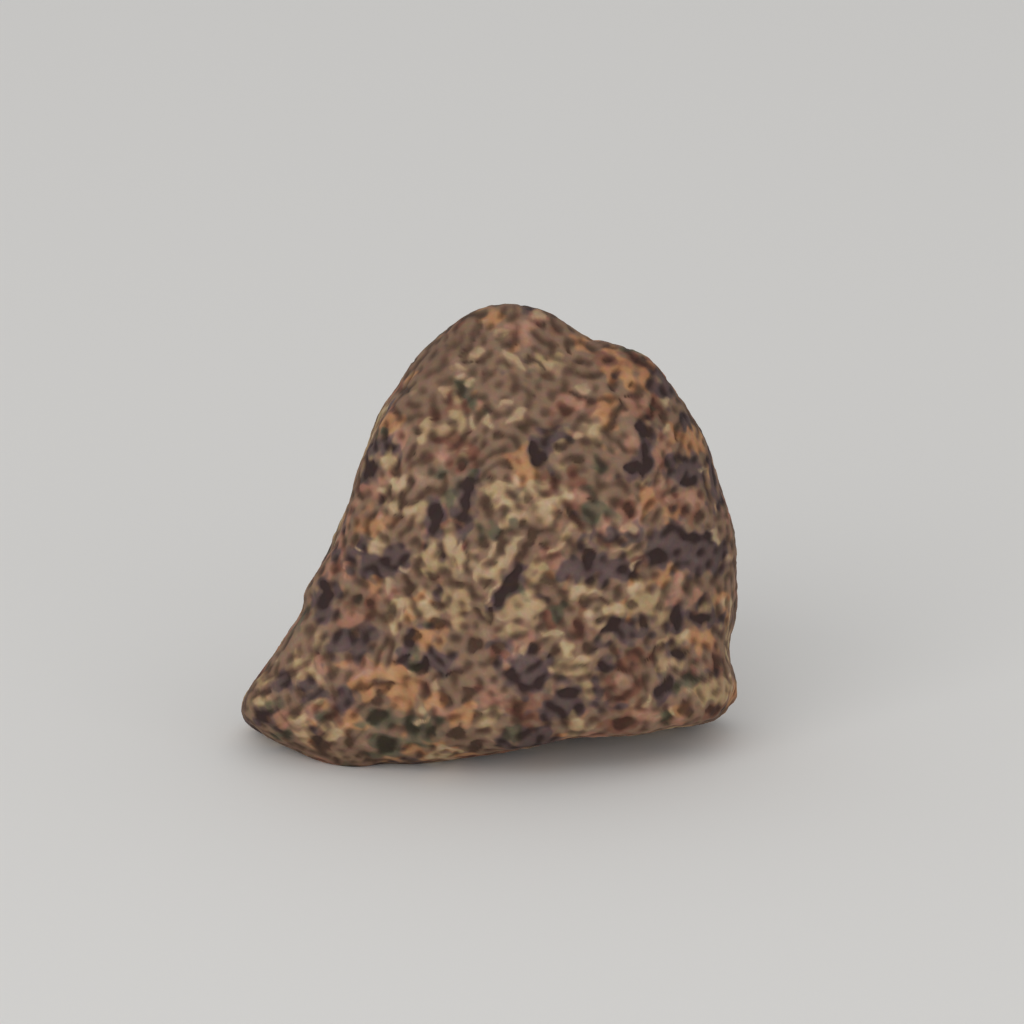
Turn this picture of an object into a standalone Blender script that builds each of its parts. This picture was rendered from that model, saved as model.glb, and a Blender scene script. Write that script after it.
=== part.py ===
"""An achondrite meteorite: one weathered stone, shaped like a bell with a drawn-out toe.

The stone is drawn by its edge as a viewer in front and a little above sees it. Broken faces close it in
depth, and hollows, lumps, ripples and pits finish its skin. One closed solid, in metres, +Z up. The front
looks along -Y, and the origin is the middle of the stone's footprint, on the ground.
"""

import math

import bmesh
import bpy
import numpy as np

MM = 0.001

# The outline's plane leans back by this angle, so that it faces a viewer this far above the ground.
LEAN = math.radians(18)
# Height of the drawing's middle above the ground, which sets how much of the underside is ground flat.
MIDDLE_HEIGHT = 24.3 * MM
# The edge of the stone, in mm right of and above the drawing's middle, clockwise from the peak.
OUTLINE = [
    (0.2, 31.0), (2.9, 30.4), (5.7, 29.0), (10.1, 26.6), (12.6, 26.2), (15.8, 25.2), (18.0, 23.5),
    (20.2, 20.7), (23.9, 15.1), (25.9, 9.3), (27.7, 4.2), (28.0, -3.0), (27.8, -6.8), (26.9, -10.2),
    (27.8, -14.2), (27.8, -16.4), (26.6, -18.3), (24.5, -19.6), (20.4, -20.4), (16.2, -21.0),
    (11.7, -21.1), (8.1, -21.5), (-0.6, -23.3), (-10.1, -24.7), (-14.7, -24.8), (-18.2, -25.5),
    (-21.2, -25.1), (-24.9, -23.4), (-28.5, -21.5), (-31.6, -19.4), (-31.5, -16.4), (-27.9, -11.4),
    (-24.7, -6.4), (-24.0, -3.6), (-22.2, -0.7), (-20.5, 2.2), (-18.8, 8.4), (-15.2, 17.4),
    (-12.9, 21.0), (-10.3, 24.3), (-7.0, 27.5), (-3.5, 29.9),
]
# Broken faces: degrees round from the front towards +X, degrees up, and mm from the middle of the drawing.
BROKEN_FACES = {
    "front right": (22, 4, 16.0),
    "front left": (-26, 10, 16.0),
    "brow": (6, 48, 20.0),
    "lower front": (-8, -30, 21.5),
    "right cheek": (60, 14, 22.5),
    "left slope": (-64, 30, 21.5),
    "back right": (142, 12, 22.5),
    "back left": (-150, 6, 23.0),
    "back crown": (172, 44, 24.0),
    "back heel": (176, -26, 24.0),
}
# The skin is worn smooth towards the ground, from this height down.
WORN_HEIGHT = 3.0 * MM
# Power that joins the broken faces: the higher it is, the sharper the edges between them.
EDGE_POWER = 8.0
# Power that joins the outline's wall to the broken faces: higher still, so that the wall stays upright.
RIM_POWER = 14.0
# Near the outline the skin's relief is lowered by this share, which keeps the edge as drawn.
RIM_CALM = 0.6
# That share fades out over this much of a unit direction's part that leads away from the viewer.
RIM_BAND = 0.25
# Thumb-shaped hollows and low lumps: degrees round, degrees up, radius in mm, and depth in mm (down is minus).
HOLLOWS_AND_LUMPS = {
    "waist hollow": (-52, -12, 9.0, -1.3),
    "chest hollow": (18, 22, 7.5, -0.9),
    "shoulder valley": (28, 56, 5.5, -0.9),
    "right notch": (70, -22, 6.5, -1.1),
    "shin hollow": (-12, -14, 8.0, -0.8),
    "back hollow": (170, 10, 10.0, -1.6),
    "back scoop": (-138, 30, 8.0, -1.2),
    "heel boss": (122, -40, 10.0, 1.8),
    "left dent": (-96, 16, 7.0, -1.0),
    "front belly": (-16, 4, 7.5, 0.7),
    "right boss": (44, -6, 6.0, 0.6),
    "crown boss": (-150, 62, 7.0, 0.8),
    "toe knuckle": (-70, -34, 6.5, 0.7),
}
# Ledges, where the skin steps down: degrees round and up of the middle, degrees round and up of the downhill
# side, reach along the ledge in mm, and height of the step in mm.
LEDGES = {
    "brow ledge": (34, 4, 20, -62, 13.0, 0.8),
    "left ledge": (-42, 6, -20, -70, 9.0, 0.6),
    "shin ledge": (-20, -38, -60, 40, 9.0, 0.6),
    "back ledge": (160, 20, 120, -50, 14.0, 1.0),
    "side ledge": (100, 6, 60, 50, 10.0, 0.7),
}
LEDGE_WIDTH = 1.6 * MM
# Ripples over the whole skin: a sum of plane waves of these lengths, and their height.
RIPPLE_LENGTHS = (6.0 * MM, 13.0 * MM)
RIPPLE_HEIGHT = 0.25 * MM
RIPPLE_COUNT = 70
RIPPLE_SEED = 11
# Larger pits, where soft grains have weathered out.
PIT_COUNT = 46
PIT_RADII = (1.9 * MM, 3.2 * MM)
PIT_DEPTH_SHARE = 0.26
PIT_SEED = 5

SNAP = 0.2 * MM  # points this near the ground are moved onto it, so that the cut leaves no thin triangles
ON_THE_CUT = 0.001 * MM  # points this near the ground count as lying on it
GRID = 28  # cells along each edge of the cube that is blown up into the stone
CURVE_STEPS = 16  # points between two neighbours on the outline
MERIDIANS = 240  # half circles, from front to back, on which the widest point is looked for
MERIDIAN_STEPS = 61
STONE_COLOUR = (0.160, 0.101, 0.068, 1.0)
STONE_ROUGHNESS = 0.85

RIGHT = np.array([1.0, 0.0, 0.0])
UPWARD = np.array([0.0, math.sin(LEAN), math.cos(LEAN)])
AWAY = np.array([0.0, math.cos(LEAN), -math.sin(LEAN)])


def clear_scene():
    for obj in list(bpy.data.objects):
        bpy.data.objects.remove(obj)


def facing(round_degrees, up_degrees):
    """Unit vector that far round from the front towards +X, and that far up."""
    around, up = math.radians(round_degrees), math.radians(up_degrees)
    return np.array([math.sin(around) * math.cos(up), -math.cos(around) * math.cos(up), math.sin(up)])


def closed_curve(points):
    """A Catmull-Rom curve once round a closed list of points."""
    here = np.array(points)
    before, after, beyond = np.roll(here, 1, 0), np.roll(here, -1, 0), np.roll(here, -2, 0)
    t = np.linspace(0, 1, CURVE_STEPS, endpoint=False)[None, :, None]
    start, end = (after - before) / 2, (beyond - here) / 2
    curve = (
        (2 * t**3 - 3 * t**2 + 1) * here[:, None]
        + (t**3 - 2 * t**2 + t) * start[:, None]
        + (3 * t**2 - 2 * t**3) * after[:, None]
        + (t**3 - t**2) * end[:, None]
    )
    return curve.reshape(-1, 2)


def outline_radius(angles):
    """Distance from the drawing's middle to the stone's edge, at each angle round the drawing."""
    curve = closed_curve(OUTLINE) * MM
    around = np.arctan2(curve[:, 1], curve[:, 0])
    order = np.argsort(around)
    reach = np.hypot(curve[:, 0], curve[:, 1])
    return np.interp(angles, around[order], reach[order], period=2 * math.pi)


def rough_radius(directions):
    """Distance from the middle to the skin: the broken faces and the outline's wall, joined by power sums."""
    across, upward = directions @ RIGHT, directions @ UPWARD
    wall = np.hypot(across, upward) / outline_radius(np.arctan2(upward, across))
    total = np.zeros(len(directions))
    for around, up, distance in BROKEN_FACES.values():
        lean = np.maximum(directions @ facing(around, up), 0)
        total += (lean / (distance * MM)) ** EDGE_POWER
    return (wall**RIM_POWER + total ** (RIM_POWER / EDGE_POWER)) ** (-1 / RIM_POWER)


def widening(angles):
    """How much each half circle from front to back is widened, so that its widest point is on the outline."""
    round_edge = np.linspace(0, 2 * math.pi, MERIDIANS, endpoint=False)
    depth = np.linspace(-math.pi / 2, math.pi / 2, MERIDIAN_STEPS)
    turn, lean = np.meshgrid(round_edge, depth, indexing="ij")
    frame = np.stack([np.cos(turn) * np.cos(lean), np.sin(turn) * np.cos(lean), np.sin(lean)], axis=-1)
    directions = (frame @ np.stack([RIGHT, UPWARD, AWAY])).reshape(-1, 3)
    width = rough_radius(directions).reshape(turn.shape) * np.cos(lean)
    return np.interp(angles, round_edge, outline_radius(round_edge) / width.max(1), period=2 * math.pi)


def on_skin(directions):
    """Points of the rough form: broken faces cut the outline's wall, then each half circle is widened."""
    points = directions * rough_radius(directions)[:, None]
    across, upward, away = points @ RIGHT, points @ UPWARD, points @ AWAY
    wider = widening(np.arctan2(upward, across))
    return np.stack([across * wider, upward * wider, away], axis=1) @ np.stack([RIGHT, UPWARD, AWAY])


def ripples(points):
    """A random field of about unit height: plane waves with seeded directions, lengths and phases."""
    rng = np.random.default_rng(RIPPLE_SEED)
    headings = rng.normal(size=(RIPPLE_COUNT, 3))
    headings /= np.linalg.norm(headings, axis=1)[:, None]
    lengths = rng.uniform(*RIPPLE_LENGTHS, RIPPLE_COUNT)
    phases = rng.uniform(0, 2 * math.pi, RIPPLE_COUNT)
    waves = np.cos(points @ (headings * (2 * math.pi / lengths)[:, None]).T + phases)
    return waves.sum(1) * math.sqrt(2 / RIPPLE_COUNT)


def hollows_and_lumps(points):
    """Sum of round swellings and hollows that fade out from their middles as a bell curve."""
    height = np.zeros(len(points))
    for around, up, radius, depth in HOLLOWS_AND_LUMPS.values():
        middle = on_skin(facing(around, up)[None])[0]
        away = np.linalg.norm(points - middle, axis=1) / (radius * MM)
        height += depth * MM * np.exp(-2 * away**2)
    return height


def ledges(points):
    """Steps down across the skin, each a smooth ramp that fades out along its length and beyond."""
    height = np.zeros(len(points))
    for around, up, down_around, down_up, reach, step in LEDGES.values():
        offset = points - on_skin(facing(around, up)[None])[0]
        ramp = np.tanh(offset @ facing(down_around, down_up) / LEDGE_WIDTH)
        fade = np.exp(-2 * (np.linalg.norm(offset, axis=1) / (reach * MM)) ** 2)
        height -= step / 2 * MM * ramp * fade
    return height


def pits(points):
    """Round pits with seeded places and sizes, each a bowl with a flat rim. Returns their depth, below zero."""
    rng = np.random.default_rng(PIT_SEED)
    directions = rng.normal(size=(PIT_COUNT, 3))
    directions /= np.linalg.norm(directions, axis=1)[:, None]
    radii = rng.uniform(*PIT_RADII, PIT_COUNT)
    depth = np.zeros(len(points))
    for middle, radius in zip(on_skin(directions), radii):
        away = np.linalg.norm(points - middle, axis=1) / radius
        bowl = np.maximum(1 - away**2, 0) ** 2
        depth = np.minimum(depth, -PIT_DEPTH_SHARE * radius * bowl)
    return depth


def stone_points(directions):
    """The finished skin in each direction from the middle, in metres, with the ground at height zero."""
    skin = on_skin(directions)
    relief = hollows_and_lumps(skin) + ledges(skin) + RIPPLE_HEIGHT * ripples(skin) + pits(skin)
    depth = skin @ AWAY / np.linalg.norm(skin, axis=1)
    relief *= 1 - RIM_CALM * np.exp(-((depth / RIM_BAND) ** 2))
    above_ground = np.clip((skin[:, 2] + MIDDLE_HEIGHT) / WORN_HEIGHT, 0, 1)
    points = skin + directions * (relief * above_ground)[:, None]
    points[:, 2] += MIDDLE_HEIGHT
    return points


def blown_up_cube():
    """A cube of even square cells, and the direction from its middle through each of its points."""
    ball = bmesh.new()
    bmesh.ops.create_cube(ball, size=2.0)
    bmesh.ops.subdivide_edges(ball, edges=ball.edges, cuts=GRID - 1, use_grid_fill=True)
    corners = np.array([vert.co for vert in ball.verts])
    # Equal steps of angle rather than of length keep the cells even after they are blown up.
    directions = np.tan(corners * math.pi / 4)
    return ball, directions / np.linalg.norm(directions, axis=1)[:, None]


def grind_flat(body):
    """Cuts the body off at the ground and closes the cut with one flat face, the spot it stands on."""
    geometry = body.verts[:] + body.edges[:] + body.faces[:]
    cut = bmesh.ops.bisect_plane(
        body, geom=geometry, plane_co=(0, 0, 0), plane_no=(0, 0, -1), dist=ON_THE_CUT, clear_outer=True
    )
    rim = [item for item in cut["geom_cut"] if isinstance(item, bmesh.types.BMEdge)]
    bmesh.ops.holes_fill(body, edges=rim, sides=0)


def stone_material():
    material = bpy.data.materials.new("weathered stone")
    material.use_nodes = True
    surface = material.node_tree.nodes["Principled BSDF"]
    surface.inputs["Base Color"].default_value = STONE_COLOUR
    surface.inputs["Roughness"].default_value = STONE_ROUGHNESS
    surface.inputs["Metallic"].default_value = 0.0
    return material


def build_stone():
    body, directions = blown_up_cube()
    places = stone_points(directions)
    places[np.abs(places[:, 2]) < SNAP, 2] = 0
    for vert, place in zip(body.verts, places):
        vert.co = place
    grind_flat(body)
    low = np.min([vert.co for vert in body.verts], axis=0)
    high = np.max([vert.co for vert in body.verts], axis=0)
    footprint_middle = (low + high) / 2
    bmesh.ops.translate(body, verts=body.verts, vec=(-footprint_middle[0], -footprint_middle[1], 0))
    bmesh.ops.triangulate(body, faces=body.faces)
    bmesh.ops.recalc_face_normals(body, faces=body.faces)

    mesh = bpy.data.meshes.new("stone")
    body.to_mesh(mesh)
    body.free()
    mesh.shade_smooth()
    mesh.materials.append(stone_material())
    stone = bpy.data.objects.new("stone", mesh)
    bpy.context.scene.collection.objects.link(stone)
    return stone


def main():
    clear_scene()
    build_stone()


main()
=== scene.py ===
"""The look of a weathered achondrite stone, dressed over its solid.

The stone's form is its solid's, worked out again on a finer grid. Its skin is a mottle of dark spots in a
paler web, stained ochre, salmon, rust, plum, cream and moss green in patches. The patches on the front are
given in mm right of and above the drawing's middle, as a viewer in front and 18 degrees above sees
them. Those on the other sides are seeded copies. Every field is worked out on the mesh's points as whole
arrays and stored as attributes, and the material turns them into colour, gloss and fine grain.
"""

import logging
import math
from dataclasses import dataclass
from enum import Enum
from typing import Iterator

import bpy
import numpy as np
from mathutils import Matrix, Vector


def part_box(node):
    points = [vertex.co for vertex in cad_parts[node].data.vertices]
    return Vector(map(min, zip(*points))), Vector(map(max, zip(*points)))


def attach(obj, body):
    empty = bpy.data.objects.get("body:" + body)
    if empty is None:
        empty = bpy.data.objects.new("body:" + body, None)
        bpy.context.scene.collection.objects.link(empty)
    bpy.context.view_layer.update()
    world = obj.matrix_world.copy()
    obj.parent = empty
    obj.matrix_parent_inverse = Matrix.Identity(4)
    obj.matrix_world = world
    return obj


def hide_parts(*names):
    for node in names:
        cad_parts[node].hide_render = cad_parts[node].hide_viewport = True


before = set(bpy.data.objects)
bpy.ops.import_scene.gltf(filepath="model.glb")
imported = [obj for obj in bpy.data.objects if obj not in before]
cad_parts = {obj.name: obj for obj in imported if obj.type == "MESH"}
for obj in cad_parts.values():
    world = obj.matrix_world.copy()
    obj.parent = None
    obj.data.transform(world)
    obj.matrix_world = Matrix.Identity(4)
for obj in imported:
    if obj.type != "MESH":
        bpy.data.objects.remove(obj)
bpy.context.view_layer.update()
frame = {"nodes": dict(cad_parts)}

MM = 0.001
TINY = 1e-6
NODE = "stone"
BODY = "root"
# How many waves make up a field of short ones.
FINE_WAVES = 110

# The drawing's plane leans back, and its three axes are right, upward and away from the viewer.
LEAN = math.radians(18)
RIGHT = np.array([1.0, 0.0, 0.0])
UPWARD = np.array([0.0, math.sin(LEAN), math.cos(LEAN)])
AWAY = np.array([0.0, math.cos(LEAN), -math.sin(LEAN)])
VIEW_DISTANCE = 1200.0
# The front sets in and is whole at these cosines between the skin's outward vector and the way to the viewer.
FRONT_EDGE = (-0.05, 0.25)

# What comes out of a node, and what goes into one: another's output, or a fixed number.
Output = bpy.types.NodeSocket
Input = bpy.types.NodeSocket | float

log = logging.getLogger("meteorite")


def facing(round_degrees: float, up_degrees: float) -> np.ndarray:
    """Unit vector that far round from the front towards +X, and that far up."""
    around, up = math.radians(round_degrees), math.radians(up_degrees)
    return np.array([math.sin(around) * math.cos(up), -math.cos(around) * math.cos(up), math.sin(up)])


def unit(vectors: np.ndarray) -> np.ndarray:
    """The same vectors, each divided by its length."""
    return vectors / np.linalg.norm(vectors, axis=-1, keepdims=True)


def smooth_step(low: float, high: float, values: np.ndarray) -> np.ndarray:
    """Rises from 0 at low to 1 at high along 3t^2 - 2t^3, where t is the share of the way."""
    t = np.clip((values - low) / (high - low), 0, 1)
    return t * t * (3 - 2 * t)


@dataclass(frozen=True)
class Waves:
    """A smooth random field: a sum of plane waves with seeded directions, lengths and phases."""

    seed: int
    shortest: float
    longest: float
    count: int = 70

    def at(self, points: np.ndarray) -> np.ndarray:
        """The field at each point: root(2 / count) sum(cos(2 pi heading . point / length + phase)).

        Args:
            points: Places in mm, one row each.

        Returns:
            One value for each point, of mean 0 and about unit height.
        """
        rng = np.random.default_rng(self.seed)
        headings = unit(rng.normal(size=(self.count, 3)))
        lengths = rng.uniform(self.shortest, self.longest, self.count)
        phases = rng.uniform(0, 2 * math.pi, self.count)
        waves = np.cos(points @ (headings * (2 * math.pi / lengths)[:, None]).T + phases)
        return waves.sum(1) * math.sqrt(2 / self.count)


@dataclass(frozen=True)
class Spots:
    """Dark spots and short worms in a pale web, which order themselves by spreading over the skin.

    A spot feeds what is close to it and starves what is farther away. So spots keep their size and distance,
    and make room for the ones that are placed.
    """

    seed: int = 3
    step: float = 0.006
    largest_share: float = 0.125
    near_steps: int = 8
    far_steps: int = 22
    soft_steps: int = 8
    rounds: int = 4
    gain: float = 5.5
    bias: float = -0.42

    def at(self, points: np.ndarray, faces: np.ndarray, source: np.ndarray) -> np.ndarray:
        """Works out the pattern, from -1 in the web to 1 in the middle of a spot.

        It starts as noise. In each round it becomes tanh(gain (near - far) + bias + source), where near and
        far are the pattern after a few steps of spreading and after many. In one step each point takes a
        share of its difference from each neighbour: the step over their distance squared, up to a largest
        share. A few steps more soften the result.

        Args:
            points: Places in mm, one row each.
            faces: The four points of each face.
            source: What each point is given in every round: above zero in a placed spot, below it in a web.

        Returns:
            The pattern at each point.
        """
        here, there = faces.ravel(), np.roll(faces, -1, axis=1).ravel()
        squares = ((points[here] - points[there]) ** 2).sum(1)
        share = self.step / np.maximum(squares, self.step / self.largest_share)

        def spread(values: np.ndarray, steps: int) -> np.ndarray:
            """The values after that many steps of spreading."""
            for _ in range(steps):
                values = values + np.bincount(here, share * (values[there] - values[here]), len(points))
            return values

        pattern = np.random.default_rng(self.seed).normal(size=len(points))
        for _ in range(self.rounds):
            near = spread(pattern, self.near_steps)
            far = spread(near, self.far_steps)
            pattern = np.tanh(self.gain * (near - far) + self.bias + source)
        return spread(pattern, self.soft_steps)


@dataclass(frozen=True)
class StoneForm:
    """The stone's large form, the same as its solid's. Sizes are in mm, from the drawing's middle."""

    middle_height: float = 24.3
    # How sharply the broken faces meet each other, and the wall.
    edge_power: float = 8.0
    rim_power: float = 14.0
    # How much of the relief is lost at the outline's plane, how near it, and how far above the ground.
    rim_calm: float = 0.6
    rim_band: float = 0.25
    worn_height: float = 3.0
    # The outline's steps from point to point, and the half circles from front to back with their steps.
    curve_steps: int = 16
    meridians: int = 240
    meridian_steps: int = 61
    outline: tuple[tuple[float, float], ...] = (
        (0.2, 31.0), (2.9, 30.4), (5.7, 29.0), (10.1, 26.6), (12.6, 26.2), (15.8, 25.2), (18.0, 23.5),
        (20.2, 20.7), (23.9, 15.1), (25.9, 9.3), (27.7, 4.2), (28.0, -3.0), (27.8, -6.8), (26.9, -10.2),
        (27.8, -14.2), (27.8, -16.4), (26.6, -18.3), (24.5, -19.6), (20.4, -20.4), (16.2, -21.0),
        (11.7, -21.1), (8.1, -21.5), (-0.6, -23.3), (-10.1, -24.7), (-14.7, -24.8), (-18.2, -25.5),
        (-21.2, -25.1), (-24.9, -23.4), (-28.5, -21.5), (-31.6, -19.4), (-31.5, -16.4), (-27.9, -11.4),
        (-24.7, -6.4), (-24.0, -3.6), (-22.2, -0.7), (-20.5, 2.2), (-18.8, 8.4), (-15.2, 17.4),
        (-12.9, 21.0), (-10.3, 24.3), (-7.0, 27.5), (-3.5, 29.9),
    )
    # Each broken face: degrees round from the front towards +X, degrees up, and mm from the middle.
    broken_faces: tuple[tuple[float, float, float], ...] = (
        (22, 4, 16.0), (-26, 10, 16.0), (6, 48, 20.0), (-8, -30, 21.5), (60, 14, 22.5),
        (-64, 30, 21.5), (142, 12, 22.5), (-150, 6, 23.0), (172, 44, 24.0), (176, -26, 24.0),
    )
    # Each hollow or lump: degrees round, degrees up, radius, and height, which is below zero in a hollow.
    swellings: tuple[tuple[float, float, float, float], ...] = (
        (-52, -12, 9.0, -1.3), (18, 22, 7.5, -0.9), (28, 56, 5.5, -0.9), (70, -22, 6.5, -1.1),
        (-12, -14, 8.0, -0.8), (170, 10, 10.0, -1.6), (-138, 30, 8.0, -1.2), (122, -40, 10.0, 1.8),
        (-96, 16, 7.0, -1.0), (-16, 4, 7.5, 0.7), (44, -6, 6.0, 0.6), (-150, 62, 7.0, 0.8),
        (-70, -34, 6.5, 0.7),
    )
    # Each ledge: degrees round and up of its middle and of its downhill side, reach, and height of the step.
    ledges: tuple[tuple[float, ...], ...] = (
        (34, 4, 20, -62, 13.0, 0.8), (-42, 6, -20, -70, 9.0, 0.6), (-20, -38, -60, 40, 9.0, 0.6),
        (160, 20, 120, -50, 14.0, 1.0), (100, 6, 60, 50, 10.0, 0.7),
    )
    ledge_width: float = 1.6
    ripples: Waves = Waves(seed=11, shortest=6.0, longest=13.0)
    ripple_height: float = 0.25
    pit_count: int = 46
    pit_radii: tuple[float, float] = (1.9, 3.2)
    pit_depth_share: float = 0.26
    pit_seed: int = 5

    def outline_radius(self, angles: np.ndarray) -> np.ndarray:
        """Distance from the drawing's middle to the stone's edge, read off a closed Catmull-Rom curve.

        Args:
            angles: Angles round the drawing, in radians, from its right-hand side.

        Returns:
            The distance in mm at each angle.
        """
        here = np.array(self.outline)
        before, after, beyond = np.roll(here, 1, 0), np.roll(here, -1, 0), np.roll(here, -2, 0)
        t = np.linspace(0, 1, self.curve_steps, endpoint=False)[None, :, None]
        start, end = (after - before) / 2, (beyond - here) / 2
        curve = (
            (2 * t**3 - 3 * t**2 + 1) * here[:, None]
            + (t**3 - 2 * t**2 + t) * start[:, None]
            + (3 * t**2 - 2 * t**3) * after[:, None]
            + (t**3 - t**2) * end[:, None]
        ).reshape(-1, 2)
        around = np.arctan2(curve[:, 1], curve[:, 0])
        order = np.argsort(around)
        reach = np.hypot(curve[:, 0], curve[:, 1])
        return np.interp(angles, around[order], reach[order], period=2 * math.pi)

    def rough_radius(self, directions: np.ndarray) -> np.ndarray:
        """Distance from the middle to the rough skin in each direction.

        The wall's share is the sideways part of the direction over the outline's radius, and a broken face's
        share is its lean towards the direction over its distance. The faces' shares are joined by the root of
        their power sum, and then with the wall's share by a higher power. The distance is 1 over the total.

        Args:
            directions: Unit vectors, one row each.

        Returns:
            The distance in mm along each.
        """
        across, upward = directions @ RIGHT, directions @ UPWARD
        wall = np.hypot(across, upward) / self.outline_radius(np.arctan2(upward, across))
        total = np.zeros(len(directions))
        for around, up, distance in self.broken_faces:
            lean = np.maximum(directions @ facing(around, up), 0)
            total += (lean / distance) ** self.edge_power
        joined = wall**self.rim_power + total ** (self.rim_power / self.edge_power)
        return joined ** (-1 / self.rim_power)

    def widening(self, angles: np.ndarray) -> np.ndarray:
        """How much each half circle from front to back is widened, to bring its widest point to the edge.

        Args:
            angles: Angles round the drawing, in radians, from its right-hand side.

        Returns:
            The outline's radius over the half circle's greatest width, at each angle.
        """
        round_edge = np.linspace(0, 2 * math.pi, self.meridians, endpoint=False)
        depth = np.linspace(-math.pi / 2, math.pi / 2, self.meridian_steps)
        turn, lean = np.meshgrid(round_edge, depth, indexing="ij")
        local = np.stack([np.cos(turn) * np.cos(lean), np.sin(turn) * np.cos(lean), np.sin(lean)], axis=-1)
        directions = (local @ np.stack([RIGHT, UPWARD, AWAY])).reshape(-1, 3)
        width = (self.rough_radius(directions).reshape(turn.shape) * np.cos(lean)).max(1)
        return np.interp(angles, round_edge, self.outline_radius(round_edge) / width, period=2 * math.pi)

    def on_skin(self, directions: np.ndarray) -> np.ndarray:
        """Points of the rough form: the radius along each direction, then widened in the outline's plane.

        Args:
            directions: Unit vectors, one row each.

        Returns:
            One point for each direction, in mm from the drawing's middle.
        """
        points = directions * self.rough_radius(directions)[:, None]
        across, upward, away = points @ RIGHT, points @ UPWARD, points @ AWAY
        wider = self.widening(np.arctan2(upward, across))
        return np.stack([across * wider, upward * wider, away], axis=1) @ np.stack([RIGHT, UPWARD, AWAY])

    def relief(self, skin: np.ndarray) -> np.ndarray:
        """Height of hollows, lumps, ledges, ripples and larger pits above the rough skin.

        A hollow or lump is height * exp(-2 (distance / radius)^2). A ledge is half its step times tanh of the
        downhill distance over its width, faded like a lump. A pit is a bowl, (1 - (distance / radius)^2)^2.
        Near the outline's plane the whole is lowered by the share calm * exp(-(depth / band)^2), where depth
        is the part of the point's direction that leads away from that plane.

        Args:
            skin: Points of the rough skin, in mm.

        Returns:
            The height at each point in mm, worn away towards the ground.
        """
        height = self.ripple_height * self.ripples.at(skin)
        for around, up, radius, rise in self.swellings:
            middle = self.on_skin(facing(around, up)[None])[0]
            height += rise * np.exp(-2 * (np.linalg.norm(skin - middle, axis=1) / radius) ** 2)
        for around, up, down_around, down_up, reach, step in self.ledges:
            offset = skin - self.on_skin(facing(around, up)[None])[0]
            ramp = np.tanh(offset @ facing(down_around, down_up) / self.ledge_width)
            height -= step / 2 * ramp * np.exp(-2 * (np.linalg.norm(offset, axis=1) / reach) ** 2)
        rng = np.random.default_rng(self.pit_seed)
        directions = unit(rng.normal(size=(self.pit_count, 3)))
        radii = rng.uniform(*self.pit_radii, self.pit_count)
        bowls = np.zeros(len(skin))
        for middle, radius in zip(self.on_skin(directions), radii):
            away = np.linalg.norm(skin - middle, axis=1) / radius
            bowls = np.minimum(bowls, -self.pit_depth_share * radius * np.maximum(1 - away**2, 0) ** 2)
        calm = 1 - self.rim_calm * np.exp(-((unit(skin) @ AWAY / self.rim_band) ** 2))
        return (height + bowls) * calm * self.unworn(skin)

    def unworn(self, points: np.ndarray) -> np.ndarray:
        """The share of its relief that each point keeps, which rises evenly from 0 on the ground to 1."""
        return np.clip((points[:, 2] + self.middle_height) / self.worn_height, 0, 1)


class Mineral(Enum):
    """The minerals that stain the groundmass. TAN is the plain one, and the others are mixed in over it.

    Each has its sRGB colours, from 0 to 255, at tones 0, 0.25, 0.5, 0.75 and 1.
    """

    TAN = ((60, 42, 32), (88, 67, 54), (111, 87, 71), (137, 110, 90), (176, 151, 127))
    OCHRE = ((70, 46, 32), (103, 70, 48), (137, 96, 67), (167, 122, 87), (194, 150, 112))
    SALMON = ((66, 43, 36), (101, 68, 56), (131, 93, 76), (157, 116, 96), (184, 147, 126))
    RUST = ((60, 38, 30), (88, 58, 47), (112, 76, 61), (137, 97, 79), (164, 123, 102))
    PLUM = ((54, 40, 38), (74, 59, 57), (96, 78, 75), (124, 105, 100), (154, 137, 130))
    CREAM = ((66, 50, 39), (101, 80, 62), (132, 108, 82), (160, 133, 100), (188, 164, 133))
    MOSS = ((50, 43, 33), (70, 63, 50), (91, 83, 67), (116, 106, 86), (152, 141, 115))

    @property
    def attribute(self) -> str:
        """The name of the mesh attribute that holds this mineral's layer."""
        return self.name.lower()


class Role(Enum):
    """What a patch does to the layers: it stains a field, adds a dark grain or adds a pale sliver."""

    FIELD = 0
    GRAIN = 1
    SLIVER = 2


class Kind(Enum):
    """A kind of patch: its role, its mineral if it stains, and how far its stain runs past its edge in mm."""

    CALM_FIELD = (Role.FIELD, Mineral.TAN, 0.0)
    PLUM_FIELD = (Role.FIELD, Mineral.PLUM, 0.0)
    MOSS_FIELD = (Role.FIELD, Mineral.MOSS, 0.0)
    RUST_FIELD = (Role.FIELD, Mineral.RUST, 0.0)
    OCHRE_FIELD = (Role.FIELD, Mineral.OCHRE, 0.0)
    SALMON_FIELD = (Role.FIELD, Mineral.SALMON, 0.0)
    CREAM_FIELD = (Role.FIELD, Mineral.CREAM, 0.0)
    PLUM_GRAIN = (Role.GRAIN, Mineral.PLUM, 0.25)
    DARK_GRAIN = (Role.GRAIN, None, 0.0)
    RED_GRAIN = (Role.GRAIN, Mineral.RUST, 0.25)
    SLIVER = (Role.SLIVER, None, 0.0)

    def __init__(self, role: Role, mineral: Mineral | None, margin: float) -> None:
        """Keeps the kind's three parts under their names."""
        self.role, self.mineral, self.margin = role, mineral, margin


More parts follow.
